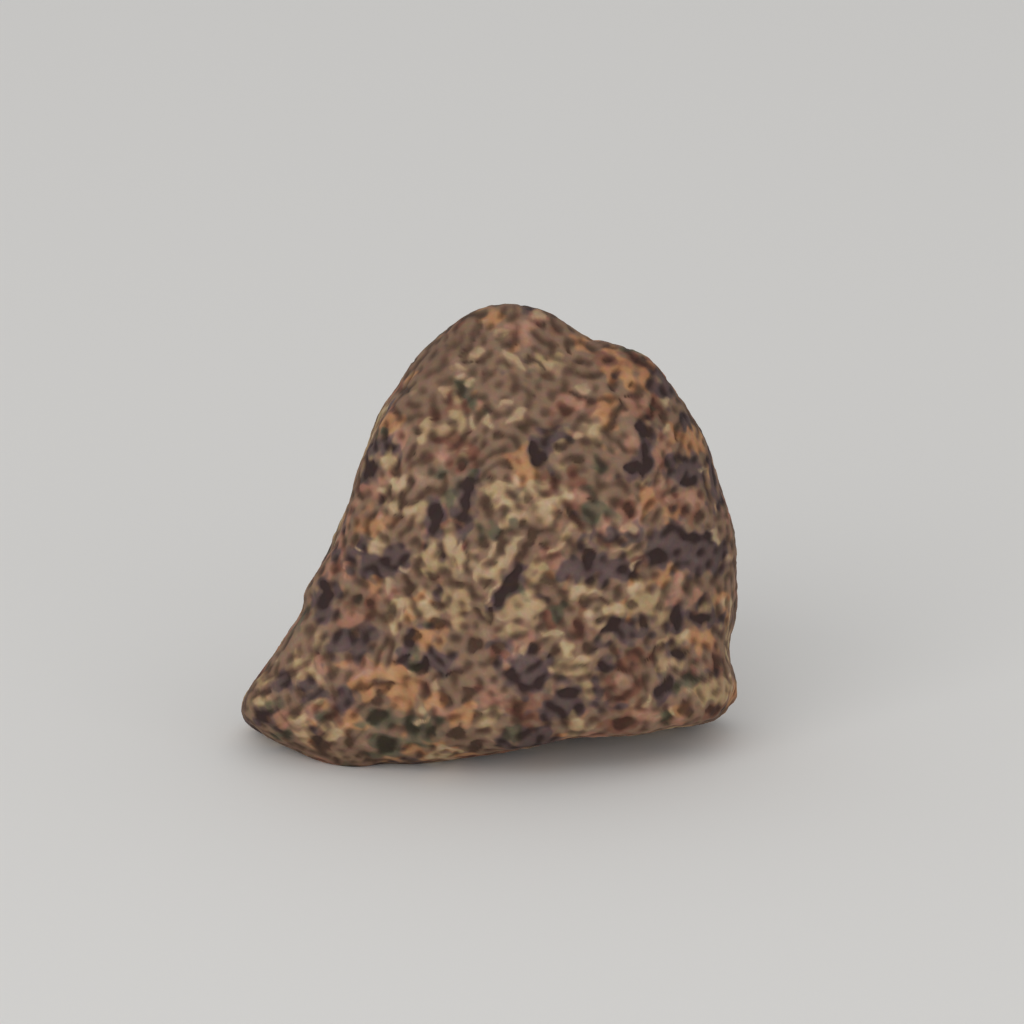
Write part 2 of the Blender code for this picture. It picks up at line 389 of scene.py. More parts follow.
# Each patch on the front: mm right, mm up, half length, half width, and degrees that its length turns.
FRONT_PATCHES: dict[Kind, tuple[tuple[float, float, float, float, float], ...]] = {
    Kind.CALM_FIELD: (
        (-8.6, 22.0, 3.4, 2.6, 55), (-2.4, 21.6, 3.0, 1.8, 0), (-7.4, 24.6, 2.6, 1.6, 40),
        (-4.0, 27.6, 2.0, 1.4, 40), (4.6, 19.4, 2.2, 1.6, 20), (6.8, 22.6, 2.6, 1.2, 0),
        (2.6, 22.2, 2.0, 1.0, 0), (9.6, 10.0, 2.0, 1.6, 60), (-23.8, -9.0, 3.4, 1.7, 62),
        (-20.0, -13.2, 2.2, 1.3, 0),
    ),
    Kind.PLUM_FIELD: (
        (22.0, 1.2, 5.8, 2.8, -12), (11.4, -1.0, 4.8, 1.9, 5), (-15.4, 0.0, 3.9, 2.5, 0),
        (2.6, -13.4, 3.1, 2.5, 0), (7.0, -17.6, 2.7, 2.0, 20), (21.7, 10.8, 2.5, 1.9, 0),
        (5.8, 14.6, 2.6, 1.2, 15), (-15.2, 13.7, 3.0, 1.2, 0), (19.1, 20.9, 2.4, 1.6, -50),
        (-19.0, -10.4, 3.2, 1.3, -8), (-23.4, -15.4, 2.0, 1.4, -20), (-19.4, -16.7, 1.7, 1.2, -35),
        (-26.6, -14.6, 1.7, 1.0, 60), (-12.6, 0.2, 2.0, 1.1, 90), (-8.4, -12.2, 2.9, 1.2, 0),
        (2.6, -21.6, 3.8, 1.7, 10), (11.0, -15.8, 2.0, 0.9, 82), (24.3, -7.0, 2.3, 1.0, -12),
        (15.0, -8.9, 2.8, 1.5, 10), (20.8, -11.1, 1.8, 0.9, 0), (-4.6, 8.2, 1.9, 1.1, 60),
        (-16.6, -8.9, 1.4, 1.0, -20), (-21.8, -4.8, 2.5, 1.5, 88), (-28.6, -18.9, 1.5, 1.2, 0),
        (25.4, 7.8, 1.6, 0.9, -70), (14.4, 3.3, 2.3, 1.3, 10), (-0.6, -10.9, 1.6, 1.0, 0),
    ),
    Kind.MOSS_FIELD: (
        (-15.2, -18.9, 2.2, 1.4, 5), (-14.4, -22.3, 1.9, 1.7, 0), (-10.3, -20.4, 2.6, 1.8, 0),
        (18.9, -19.2, 1.4, 0.6, 0), (21.8, -14.6, 1.8, 1.1, 0), (-0.6, 3.8, 1.9, 1.0, 0),
        (11.4, 11.0, 1.3, 0.8, 0), (-27.0, -21.0, 1.2, 0.5, -10), (6.4, -6.4, 1.4, 0.8, 80),
        (-4.8, 19.8, 2.6, 0.7, -60), (10.6, 6.2, 2.3, 1.8, 90), (0.9, -21.5, 1.3, 0.8, 90),
        (-6.5, 10.6, 2.4, 0.8, 0),
    ),
    Kind.RUST_FIELD: (
        (-6.6, 14.5, 2.7, 0.9, -10), (-3.4, 13.0, 1.7, 0.8, -10), (14.2, -15.2, 2.7, 2.1, 90),
        (-17.6, -6.3, 1.8, 1.0, 0), (4.9, 9.5, 1.3, 0.9, 20), (2.5, -17.5, 2.4, 1.3, 0),
        (19.2, 8.4, 1.5, 0.8, 90), (12.0, 24.4, 1.3, 0.9, -20), (6.8, 17.9, 1.3, 0.7, 0),
        (15.2, -11.9, 2.2, 0.9, 0), (8.5, 9.6, 1.4, 0.9, 85), (-20.0, -1.0, 1.5, 0.6, 85),
    ),
    Kind.OCHRE_FIELD: (
        (14.9, 22.8, 3.0, 1.9, -15), (13.2, 25.1, 1.4, 0.8, -20), (11.8, 17.9, 2.2, 1.3, 70),
        (-14.2, 16.3, 1.9, 1.2, 0), (22.6, 14.4, 1.8, 1.4, -40), (17.3, 7.4, 2.6, 0.9, 80),
        (19.6, 5.4, 1.3, 0.8, 0), (19.3, -1.7, 1.5, 1.2, 60), (-16.3, 3.9, 2.0, 0.9, 0),
        (-14.8, -13.5, 4.4, 1.3, 0), (-11.9, -15.8, 2.2, 1.8, 70), (-5.2, -18.5, 1.8, 1.2, -15),
        (-18.8, -19.3, 1.8, 1.2, 0), (-8.4, -23.2, 2.6, 1.7, 0), (23.6, -9.6, 2.5, 1.1, -10),
        (-9.5, -9.2, 2.0, 1.6, 0), (-1.5, 29.6, 1.2, 1.0, 0), (2.2, 11.4, 2.4, 1.5, -65),
        (-9.0, -16.9, 1.5, 1.0, 0), (26.3, -4.9, 1.0, 0.8, 0), (8.8, 26.2, 1.0, 0.8, 0),
        (20.0, 15.1, 1.5, 1.1, 0),
    ),
    Kind.SALMON_FIELD: (
        (15.8, 18.3, 1.7, 1.3, 10), (7.8, 19.2, 1.7, 1.2, 0), (15.2, 14.0, 1.0, 0.7, 0),
        (18.9, 12.6, 2.8, 0.9, 85), (21.6, 7.2, 2.8, 1.0, -5), (15.0, 5.5, 2.0, 1.6, 90),
        (21.9, -4.7, 2.6, 0.9, -5), (-19.0, -1.2, 1.8, 0.6, 80), (-21.4, -1.4, 1.4, 0.8, 70),
        (-7.2, 12.8, 1.7, 0.8, -5), (-26.8, -19.1, 1.5, 1.4, 0), (-23.2, -18.8, 1.2, 1.1, 0),
        (-14.2, -4.2, 1.1, 0.9, 60), (14.3, -14.8, 1.1, 0.9, 0), (0.1, -11.8, 1.1, 0.9, 90),
        (-5.5, 5.2, 1.3, 0.8, -50), (-1.5, -16.4, 2.0, 0.9, 10), (-16.2, 9.0, 1.7, 1.2, 0),
        (-22.4, -12.6, 1.9, 1.0, -50), (-17.5, -13.0, 1.6, 1.0, 0), (3.0, 29.0, 1.6, 1.0, -10),
        (1.6, 27.6, 1.8, 0.8, -20), (-18.8, -7.4, 1.9, 1.4, 10), (16.8, -18.9, 1.8, 1.0, 0),
        (8.8, 7.7, 1.5, 1.0, 0), (20.6, -19.6, 1.3, 0.8, 0),
    ),
    Kind.CREAM_FIELD: (
        (1.6, -5.9, 3.5, 1.8, 8), (0.8, -8.2, 1.3, 1.0, 0), (-0.4, 8.8, 2.0, 1.0, 0), (4.6, 5.7, 1.6, 1.2, 0),
        (5.8, 7.5, 1.6, 0.8, 10), (0.9, 5.0, 1.4, 0.9, 20), (-5.5, -5.4, 2.4, 1.5, 85),
        (17.2, -5.2, 3.0, 1.9, -25), (9.3, -3.4, 1.8, 0.9, 0), (13.0, -6.1, 1.3, 1.0, 0),
        (25.0, -15.6, 2.8, 1.9, 5), (-12.7, -6.2, 2.3, 0.9, 85), (-9.5, -5.6, 1.2, 1.1, 0),
        (14.4, 1.6, 1.0, 0.7, -10), (8.5, -19.9, 1.2, 1.0, 90), (7.6, -11.2, 1.5, 0.6, -70),
        (20.9, -9.0, 1.0, 0.8, 0), (-14.4, 12.0, 1.3, 0.9, -20), (-13.0, 9.2, 1.7, 0.7, 0),
        (-13.8, 6.6, 1.1, 0.9, 0), (-6.3, 1.2, 2.9, 0.8, -85), (27.0, -5.9, 1.2, 0.7, 90),
        (3.7, -1.6, 1.6, 1.1, 60), (-29.8, -16.8, 1.1, 0.8, 0), (10.6, 15.6, 1.2, 0.9, 60),
        (19.5, -13.1, 1.4, 0.6, 0), (-28.9, -14.6, 1.0, 0.9, 0), (26.8, -10.4, 2.0, 0.5, 85),
        (-8.7, 0.1, 2.4, 1.2, 88), (-1.2, -1.2, 1.7, 1.2, 60), (5.0, 24.0, 1.7, 1.2, 0),
        (8.0, 3.4, 1.5, 1.1, 0), (-0.3, 6.8, 1.5, 1.0, 0), (-21.2, -20.4, 1.6, 1.0, -30),
        (-7.8, -23.4, 1.8, 1.0, 0), (-10.5, 6.2, 1.6, 1.1, 0), (-15.2, 1.9, 1.2, 0.7, 0),
    ),
    Kind.PLUM_GRAIN: (
        (-8.4, 5.1, 1.8, 1.0, 80), (17.0, 12.0, 2.4, 0.7, 88), (15.6, 11.2, 1.2, 1.0, 0),
        (10.0, 0.2, 1.0, 1.5, 10), (3.8, 13.1, 1.6, 0.8, -70), (-16.3, 11.1, 1.3, 0.9, 80),
        (7.5, -16.0, 1.4, 1.0, 0), (20.6, -6.9, 1.9, 0.8, 88), (23.6, -6.8, 1.6, 0.8, -10),
        (12.6, -8.2, 1.6, 0.6, 35), (16.9, -7.6, 1.3, 0.7, -40), (21.0, -11.1, 1.4, 0.7, 0),
        (19.2, -15.4, 1.5, 0.9, 45), (16.8, 15.5, 1.1, 1.0, 0), (-21.6, -4.2, 1.9, 1.1, 85),
        (18.4, 0.6, 1.6, 1.0, -20), (22.2, 9.6, 1.3, 0.8, 10), (-4.4, 9.2, 1.2, 0.8, 80),
        (-4.9, 6.9, 1.7, 0.7, 75), (22.2, 2.8, 1.9, 0.8, -15), (0.5, -3.1, 2.9, 0.9, 58),
    ),
    Kind.DARK_GRAIN: (
        (-3.0, 28.3, 1.1, 0.6, 80), (-3.7, 26.9, 0.9, 0.6, -60), (4.4, 28.5, 1.0, 0.6, 30),
        (3.6, 24.2, 1.6, 0.5, -42), (5.1, 24.6, 0.6, 0.5, 0), (7.5, 25.5, 1.0, 0.5, 90),
        (9.3, 24.1, 0.8, 0.5, 20), (5.2, 26.1, 1.3, 0.4, 0), (0.5, 26.2, 1.1, 0.4, 0),
        (-5.2, 25.2, 0.9, 0.5, 60), (-3.8, 24.0, 1.3, 0.4, 5), (-2.2, 22.6, 0.9, 0.5, 10),
        (-12.2, 20.3, 1.0, 0.7, 0), (-13.1, 18.0, 0.8, 0.6, -20), (-5.3, 20.6, 1.1, 0.5, 60),
        (-6.6, 16.7, 1.0, 0.5, -20), (-2.1, 18.4, 0.7, 0.5, 0), (2.1, 16.2, 1.0, 0.5, 25),
        (-0.8, 15.1, 1.1, 0.7, -10), (-4.9, 15.0, 1.1, 0.5, 10), (-10.3, 15.5, 0.9, 0.7, -20),
        (9.0, 20.1, 1.3, 0.5, -10), (3.2, 19.8, 0.6, 0.5, 0), (9.4, 22.4, 1.6, 0.5, -8),
        (13.1, 21.0, 0.7, 0.7, 0), (14.9, 21.1, 0.6, 0.55, 0), (15.4, 19.7, 1.2, 0.4, 5),
        (10.2, 19.2, 0.8, 0.7, 0), (13.6, 18.4, 1.8, 0.5, 85), (12.6, 16.0, 1.5, 0.7, 35),
        (19.1, 17.3, 0.7, 0.55, 0), (20.7, 15.5, 1.3, 0.5, 85), (6.8, 13.7, 1.0, 0.7, 0),
        (8.6, 12.3, 1.0, 0.9, 0), (-13.1, 11.1, 1.0, 0.8, 70), (-13.9, 8.5, 0.6, 0.5, 0),
        (-14.8, 7.7, 0.8, 0.5, 0), (-17.4, 7.6, 0.8, 0.55, 0), (-16.0, 5.6, 0.9, 0.6, 0),
        (-13.1, 5.2, 1.0, 0.5, 0), (-12.5, 7.0, 1.4, 0.5, 80), (-11.2, 9.7, 0.9, 0.8, 90),
        (-9.2, 8.5, 0.7, 0.6, 0), (-7.9, 10.3, 0.7, 0.6, 0), (-11.3, 7.2, 1.1, 0.5, -5),
        (-10.8, 12.7, 0.6, 0.5, 0), (0.7, 11.6, 0.7, 0.65, 0), (0.0, 10.3, 0.5, 0.45, 0),
        (-1.7, 10.0, 0.65, 0.6, 0), (-1.9, 6.6, 0.95, 0.85, 0), (6.4, 5.9, 0.8, 0.75, 0),
        (2.8, 7.3, 1.0, 0.8, 20), (6.2, 9.9, 1.0, 0.6, 80), (-1.5, -0.4, 0.9, 0.55, 30),
        (-4.6, 0.3, 2.3, 0.5, 88), (-7.6, 0.6, 0.9, 0.6, -25), (-2.8, 2.1, 1.0, 0.7, 0),
        (-0.9, 3.4, 0.8, 0.6, 0), (2.2, 4.4, 1.1, 0.6, 40), (4.7, 1.5, 1.3, 0.5, -40),
        (-8.3, -1.9, 0.8, 0.6, 0), (5.3, -2.4, 1.1, 0.7, -10), (-17.8, -4.8, 0.9, 0.7, 20),
        (-14.1, -6.5, 1.2, 0.8, 80), (-23.4, -8.5, 0.7, 0.7, 0), (-23.2, -11.1, 0.8, 0.7, 0),
        (-25.5, -11.6, 1.0, 0.5, -25), (-20.8, -13.8, 0.8, 0.7, 80), (-20.8, -11.6, 0.7, 0.5, 90),
        (-16.4, -15.4, 1.7, 0.45, 0), (-13.7, -15.4, 0.7, 0.65, 0), (-15.3, -16.6, 1.0, 0.7, 60),
        (-29.0, -19.1, 1.3, 0.9, -20), (-22.1, -22.2, 1.7, 1.2, -40), (-18.8, -21.6, 1.3, 0.8, 80),
        (-18.0, -23.6, 0.8, 0.6, 0), (-29.0, -15.9, 1.2, 0.6, 10), (-11.6, -3.4, 1.1, 0.8, 85),
        (-11.3, -9.2, 1.2, 1.0, 0), (-12.3, -12.0, 1.5, 0.5, 5), (-8.2, -7.5, 1.1, 0.9, -10),
        (-8.4, -5.3, 1.0, 0.5, -40), (-1.5, -6.9, 1.3, 0.6, 80), (-3.8, -10.2, 1.2, 0.9, 20),
        (0.6, -13.4, 0.9, 0.7, 0), (2.3, -15.3, 0.7, 0.6, 0), (3.9, -14.7, 1.0, 0.7, -60),
        (5.8, -11.2, 1.4, 0.5, 35), (3.0, -10.6, 1.6, 0.8, 0), (-4.2, -16.1, 1.5, 0.8, 35),
        (-5.8, -20.8, 1.3, 1.0, 45), (-3.5, -22.5, 1.2, 1.0, 80), (-7.2, -17.0, 0.9, 0.9, 0),
        (-1.5, -18.2, 0.7, 0.6, 0), (-3.3, -18.8, 0.8, 0.6, 0), (-5.6, -2.9, 1.0, 0.7, 0),
        (-10.0, -12.8, 1.3, 0.8, 60), (-6.3, -13.4, 1.5, 0.5, 0), (23.6, 5.3, 0.9, 0.85, 0),
        (10.3, 7.4, 0.9, 0.45, -35), (9.3, -5.3, 0.9, 0.6, 85), (12.0, -4.9, 0.9, 0.6, -20),
        (11.5, -7.2, 0.7, 0.6, 0), (15.4, -5.3, 0.9, 0.7, -10), (19.0, -5.2, 0.8, 0.6, 70),
        (10.1, -10.7, 1.0, 0.7, -10), (9.3, -12.8, 0.9, 0.5, 0), (12.0, -12.9, 0.8, 0.7, 0),
        (18.2, -10.9, 2.1, 0.7, 42), (22.6, -14.1, 1.0, 0.9, 0), (21.9, -17.9, 1.4, 0.8, -65),
        (-25.2, -18.7, 0.8, 0.6, 80), (-26.0, -21.4, 0.7, 0.5, 0), (-20.4, -24.2, 0.8, 0.5, 20),
        (3.3, 3.4, 1.4, 0.9, 10), (2.8, 1.5, 1.6, 0.55, 72), (-2.2, -2.6, 0.8, 0.5, 60),
        (-15.2, -18.8, 1.7, 1.0, 15), (-14.3, -22.3, 1.3, 1.1, 0), (-11.3, -20.0, 1.0, 1.2, 0),
        (-9.0, -20.8, 1.1, 0.8, 40),
    ),
    Kind.RED_GRAIN: (
        (-8.9, 16.9, 0.8, 0.5, -10), (16.1, 24.4, 1.7, 0.6, -28), (17.8, 18.2, 1.7, 0.5, 85),
        (-5.3, 11.7, 1.0, 0.8, 0), (8.6, 5.4, 1.5, 0.75, -65), (14.9, 6.1, 1.2, 0.9, 85),
        (21.7, 6.0, 0.9, 0.6, 0), (-16.1, -5.3, 0.9, 0.7, 90), (-21.1, -19.0, 1.2, 0.6, 22),
        (-9.4, -15.4, 0.8, 0.7, 0), (1.7, -17.8, 0.8, 0.8, 0), (8.9, -8.3, 1.4, 0.7, -80),
        (25.3, -12.3, 1.4, 0.8, -60), (14.5, -13.2, 0.9, 0.6, 0), (13.8, -16.7, 1.0, 0.7, 0),
        (13.9, -19.7, 1.3, 1.1, 0), (25.0, -18.1, 1.1, 0.6, 10), (-1.0, -10.6, 0.9, 1.0, 0),
        (12.2, 24.3, 0.8, 0.7, 0),
    ),
    Kind.SLIVER: (
        (-3.4, 25.0, 1.0, 0.4, 4), (1.1, 24.0, 2.0, 0.6, -32), (-6.0, 17.6, 0.8, 0.6, -40),
        (-3.9, 16.4, 0.9, 0.45, 90), (-1.9, 16.8, 1.2, 0.5, -50), (1.3, 17.5, 1.5, 0.65, 48),
        (0.1, 18.9, 1.4, 0.5, 32), (8.7, 15.3, 0.7, 0.6, 0), (0.8, 1.0, 2.3, 0.75, 64),
        (-1.6, 1.3, 1.5, 0.5, 58), (-3.0, -1.2, 1.6, 0.55, 80), (-5.4, 0.5, 2.1, 0.45, 90),
        (25.2, 3.0, 1.4, 0.5, -45), (27.0, 0.2, 0.7, 0.5, 0), (5.8, -8.9, 1.7, 0.55, -8),
        (-1.4, -3.9, 2.0, 0.35, 58), (17.3, -16.8, 0.9, 0.5, 90), (20.4, -18.3, 0.9, 0.45, -40),
        (5.6, -13.3, 0.6, 0.55, 0), (2.2, -10.9, 0.9, 0.35, 90), (19.5, 15.9, 0.9, 0.55, 70),
        (9.7, 20.9, 1.3, 0.5, -18), (-8.0, -15.0, 0.9, 0.6, 90), (15.1, 4.1, 1.3, 0.45, -10),
        (-17.5, 1.3, 0.9, 0.35, -50), (6.2, 1.6, 1.7, 0.4, 40), (3.8, 29.6, 1.0, 0.6, 20),
        (-12.0, -1.1, 0.7, 0.5, -30), (15.8, -0.6, 0.9, 0.4, 40), (19.2, 18.8, 0.7, 0.5, 0),
        (23.8, 11.0, 0.9, 0.35, 0), (-5.3, 23.3, 0.8, 0.5, -30), (-4.2, 21.5, 0.6, 0.5, 0),
        (-7.3, 20.5, 0.7, 0.5, 0), (-13.8, -3.0, 0.5, 0.9, 0), (-10.2, -19.4, 1.2, 0.5, 20),
    ),
}


@dataclass(frozen=True)
class Skin:
    """The stone's smooth skin: places in mm from the drawing's middle, unit vectors out of it, and faces."""

    points: np.ndarray
    normals: np.ndarray
    faces: np.ndarray

    def front_share(self) -> np.ndarray:
        """1 where the skin faces the viewer in front, falling to 0 just past the edge of what they see."""
        return smooth_step(*FRONT_EDGE, -(self.normals @ AWAY))

    def seen(self) -> tuple[np.ndarray, np.ndarray]:
        """Places right and up as the viewer sees them: nearer points look larger, by distance over depth."""
        nearness = VIEW_DISTANCE / (VIEW_DISTANCE + self.points @ AWAY)
        return self.points @ RIGHT * nearness, self.points @ UPWARD * nearness

    def warped(self, waves: tuple[Waves, ...], reach: float) -> "Skin":
        """The skin with its points shifted along X, Y and Z, by a field of waves each times the reach."""
        shifts = np.stack([wave.at(self.points) for wave in waves], axis=1)
        return Skin(self.points + reach * shifts, self.normals, self.faces)


@dataclass(frozen=True)
class Patches:
    """Measures how deep the skin's points lie inside patches on the front and copies on the other sides.

    The copies have the patches' sizes, but lie at random places. A copied sliver is smaller than its patch,
    and no copy is thinner than a share of its length. Waves shift the edge of every patch a little.
    """

    skin: Skin
    form: StoneForm
    warps: tuple[Waves, ...] = tuple(Waves(seed=30 + n, shortest=1.4, longest=3.6) for n in range(3))
    warp_reach: float = 0.20
    # How far in mm a patch is worked out past its edge, and sinks where it runs over to the other side.
    reach: float = 2.2
    # Its half depth: on the front over the root of length times width, and in a copy over the half length.
    front_depth: float = 3.2
    copy_depth: float = 2.0
    copies: int = 2
    copy_width: float = 0.4
    copied_slivers: float = 0.65
    seed: int = 77

    @staticmethod
    def depth(offsets: tuple[np.ndarray, ...], halves: tuple[float, ...]) -> np.ndarray:
        """Depth inside an ellipsoid: (1 - q) over the slope of q.

        With the offsets a, b and c each over its own half size, q is root(a^2 + b^2 + c^2), so it is 1 on
        the ellipsoid. Its slope is root((a / half a)^2 + (b / half b)^2 + (c / half c)^2) / q.

        Args:
            offsets: How far the points are from its middle, in mm along, across and in depth.
            halves: Its three half sizes in mm.

        Returns:
            The depth of each point in mm, below zero outside.
        """
        shares = [offset / half for offset, half in zip(offsets, halves)]
        q = np.sqrt(sum(share**2 for share in shares)) + TINY
        slope = np.sqrt(sum((share / half) ** 2 for share, half in zip(shares, halves))) / q
        return (1 - q) / slope

    def near(self, kind: Kind, patches: tuple[tuple[float, ...], ...]) -> Iterator[tuple[np.ndarray, ...]]:
        """Yields the patches on the front, then the copies on the other sides.

        Args:
            kind: The kind of the patches.
            patches: Their places, half sizes and turns.

        Yields:
            The numbers of the points near one patch, and how deep each lies inside it, in mm.
        """
        warped = self.skin.warped(self.warps, self.warp_reach)
        front = self.skin.front_share()
        right, up = warped.seen()
        away = self.skin.points @ AWAY
        for x, y, half_length, half_width, turn in patches:
            near = np.flatnonzero((np.hypot(right - x, up - y) < half_length + self.reach) & (front > 0))
            cos, sin = math.cos(math.radians(turn)), math.sin(math.radians(turn))
            a = (right[near] - x) * cos + (up[near] - y) * sin
            b = (up[near] - y) * cos - (right[near] - x) * sin
            c = away[near] - away[near][np.argmin(a**2 + b**2)]
            half_depth = self.front_depth * math.sqrt(half_length * half_width)
            inside = self.depth((a, b, c), (half_length, half_width, half_depth))
            yield near, inside - self.reach * (1 - front[near])
        rng = np.random.default_rng(self.seed + list(Kind).index(kind))
        sizes = np.array([patch[2:4] for patch in patches] * self.copies)
        sizes *= self.copied_slivers if kind.role is Role.SLIVER else 1
        sizes[:, 1] = np.maximum(sizes[:, 1], self.copy_width * sizes[:, 0])
        middles = self.form.on_skin(unit(rng.normal(size=(len(sizes), 3))))
        for middle, (half_length, half_width) in zip(middles, sizes):
            out = unit(middle)
            along = unit(np.cross(out, rng.normal(size=3)))
            offset = warped.points - middle
            near = np.flatnonzero((np.linalg.norm(offset, axis=1) < half_length + self.reach) & (front < 1))
            parts = tuple(offset[near] @ axis for axis in (along, np.cross(out, along), out))
            halves = (half_length, half_width, self.copy_depth * half_length)
            yield near, self.depth(parts, halves) - self.reach * front[near]


@dataclass
class Layers:
    """How deep each point lies inside each layer of placed patches, in mm. Below zero it lies outside.

    A layer takes the larger of its own depth and a new patch's. Where patches of two layers meet, the later
    one wins, and the other layer ends at its edge.
    """

    grain: np.ndarray
    pale: np.ndarray
    calm: np.ndarray
    stains: dict[Mineral, np.ndarray]
    # How far in mm the other layer stays off a grain or sliver, and how far its own stays inside its edge.
    gap: float = 0.10
    worn: float = 0.12
    # The minerals whose fields hold fewer dark spots.
    calming: tuple[Mineral, ...] = (Mineral.OCHRE, Mineral.SALMON, Mineral.CREAM)

    def lay(self, kind: Kind, near: np.ndarray, depth: np.ndarray) -> None:
        """Lays one patch.

        Args:
            kind: The kind of the patch.
            near: The numbers of the points near it.
            depth: How deep each lies inside it, in mm.
        """
        if kind.mineral is not None:
            reach = depth + kind.margin
            for mineral, other in self.stains.items():
                if mineral is kind.mineral:
                    other[near] = np.maximum(other[near], reach)
                else:
                    other[near] = np.minimum(other[near], -reach)
        if kind.mineral in self.calming:
            self.calm[near] = np.maximum(self.calm[near], depth)
        if kind.role is Role.GRAIN:
            self.grain[near] = np.maximum(self.grain[near], depth - self.worn)
            self.pale[near] = np.minimum(self.pale[near], -depth - self.gap)
        elif kind.role is Role.SLIVER:
            self.grain[near] = np.minimum(self.grain[near], -depth - self.gap)
            self.pale[near] = np.maximum(self.pale[near], depth - self.worn)


@dataclass(frozen=True)
class Mottle:
    """The stone's mottle: dark spots, pale slivers and stains, and its own low relief. Sizes are in mm."""

    form: StoneForm
    spots: Spots = Spots()
    # How hard grains and slivers, calm fields and patchy waves pull the pattern, and from which depths.
    pull: float = 2.0
    pull_depth: tuple[float, float] = (-0.1, 0.3)
    calm_pull: float = 0.4
    calm_depth: tuple[float, float] = (0.1, 0.7)
    patchy_pull: float = 0.20
    # What lies further than the rim's depth in front of the outline's plane is pulled back by a share of that.
    rim_pull: float = 0.5
    rim_depth: float = 2.0
    # The shade's two fields, and by how much it is weaker on the front and in spots.
    patchy: Waves = Waves(seed=22, shortest=2.2, longest=5.0, count=FINE_WAVES)
    clouds: Waves = Waves(seed=23, shortest=5.0, longest=15.0)
    cloud_share: float = 0.8
    front_calm: float = 0.65
    spot_evenness: float = 0.7
    # The heights of the relief, and where in the pattern and in a sliver they set in and are whole.
    pit_depth: float = 0.16
    pit_edge: tuple[float, float] = (-0.4, 1.0)
    sliver_height: float = 0.05
    sliver_edge: tuple[float, float] = (-0.15, 0.25)
    rough_grain: Waves = Waves(seed=41, shortest=0.9, longest=2.4, count=FINE_WAVES)
    rough_height: float = 0.03
    # The deepest that a point counts, inside a layer or outside it.
    limit: float = 1.6
    # Each stain of the plain groundmass: its seed, and the height of its wide field where it sets in.
    stains: tuple[tuple[Mineral, int, float], ...] = (
        (Mineral.OCHRE, 51, 0.95), (Mineral.SALMON, 52, 1.0), (Mineral.RUST, 53, 1.25),
        (Mineral.PLUM, 54, 1.05), (Mineral.CREAM, 55, 1.0), (Mineral.MOSS, 56, 1.6),
    )
    stain_lengths: tuple[float, float] = (4.0, 13.0)
    stain_width: float = 1.3
    scatter_lengths: tuple[float, float] = (1.2, 3.2)
    scatter_height: float = 0.40
    scatter_seeds: int = 20

    def layers(self, skin: Skin) -> Layers:
        """The layers of stains and placed patches.

        A stain's depth is how far a wide field of waves rises above a level, times the width over which the
        field rises by one. The level is higher on the front. Then the patches are laid.

        Args:
            skin: The stone's smooth skin.

        Returns:
            The layers, before their edges are scattered.
        """
        front = skin.front_share()
        nothing = np.full(len(front), -self.limit)
        stains = {Mineral.TAN: nothing.copy()}
        for mineral, seed, level in self.stains:
            wide = Waves(seed, *self.stain_lengths).at(skin.points)
            stains[mineral] = self.stain_width * (wide - level - self.front_calm * front)
        layers = Layers(nothing.copy(), nothing.copy(), nothing.copy(), stains)
        places = Patches(skin, self.form)
        for kind, patches in FRONT_PATCHES.items():
            for near, depth in places.near(kind, patches):
                layers.lay(kind, near, depth)
        return layers

    def scatter(self, skin: Skin, layers: Layers) -> None:
        """Scatters the edge of every stain by short waves.

        Args:
            skin: The stone's smooth skin.
            layers: The layers, whose stains are changed.
        """
        for mineral, seed, _ in self.stains:
            waves = Waves(seed + self.scatter_seeds, *self.scatter_lengths, count=FINE_WAVES)
            layers.stains[mineral] += self.scatter_height * waves.at(skin.points)

    def dark(self, skin: Skin, layers: Layers) -> np.ndarray:
        """The pattern of dark spots, from -1 to 1, which the placed patches pull up or down.

        On the front it spreads over points that are pulled back towards the outline's plane, so that spots
        look less narrow where the skin turns away. A placed grain is dark all over.

        Args:
            skin: The stone's smooth skin.
            layers: The layers of placed patches.

        Returns:
            The pattern at each point.
        """
        grain, pale = (smooth_step(*self.pull_depth, depth) for depth in (layers.grain, layers.pale))
        source = self.pull * (grain - pale) - self.calm_pull * smooth_step(*self.calm_depth, layers.calm)
        source -= self.patchy_pull * self.patchy.at(skin.points)
        pull = self.rim_pull * np.minimum(skin.points @ AWAY + self.rim_depth, 0)
        pattern = self.spots.at(skin.points - pull[:, None] * AWAY, skin.faces, source)
        return np.maximum(pattern, 2 * grain - 1)

    def at(self, skin: Skin) -> tuple[dict[str, np.ndarray], np.ndarray]:
        """Works out every field of the mottle.

        Each dark spot is a shallow hollow, each sliver is slightly raised, and short waves roughen the skin.
        The shade is a field of patches plus a share of wide clouds, weaker on the front and in spots.

        Args:
            skin: The stone's smooth skin.

        Returns:
            The mesh attributes by name, and the height of the mottle's own relief in mm.
        """
        layers = self.layers(skin)
        dark = self.dark(skin, layers)
        self.scatter(skin, layers)
        height = self.rough_height * self.rough_grain.at(skin.points)
        height -= self.pit_depth * smooth_step(*self.pit_edge, dark)
        height += self.sliver_height * smooth_step(*self.sliver_edge, layers.pale)
        fields = {mineral.attribute: stain for mineral, stain in layers.stains.items()}
        fields |= {"dark": dark, "pale": layers.pale}
        fields = {name: np.clip(depth, -self.limit, self.limit) for name, depth in fields.items()}
        shade = self.patchy.at(skin.points) + self.cloud_share * self.clouds.at(skin.points)
        shade *= 1 - self.front_calm * skin.front_share()
        shade *= 1 - self.spot_evenness * smooth_step(-1.0, 1.0, dark)
        return fields | {"shade": shade}, height


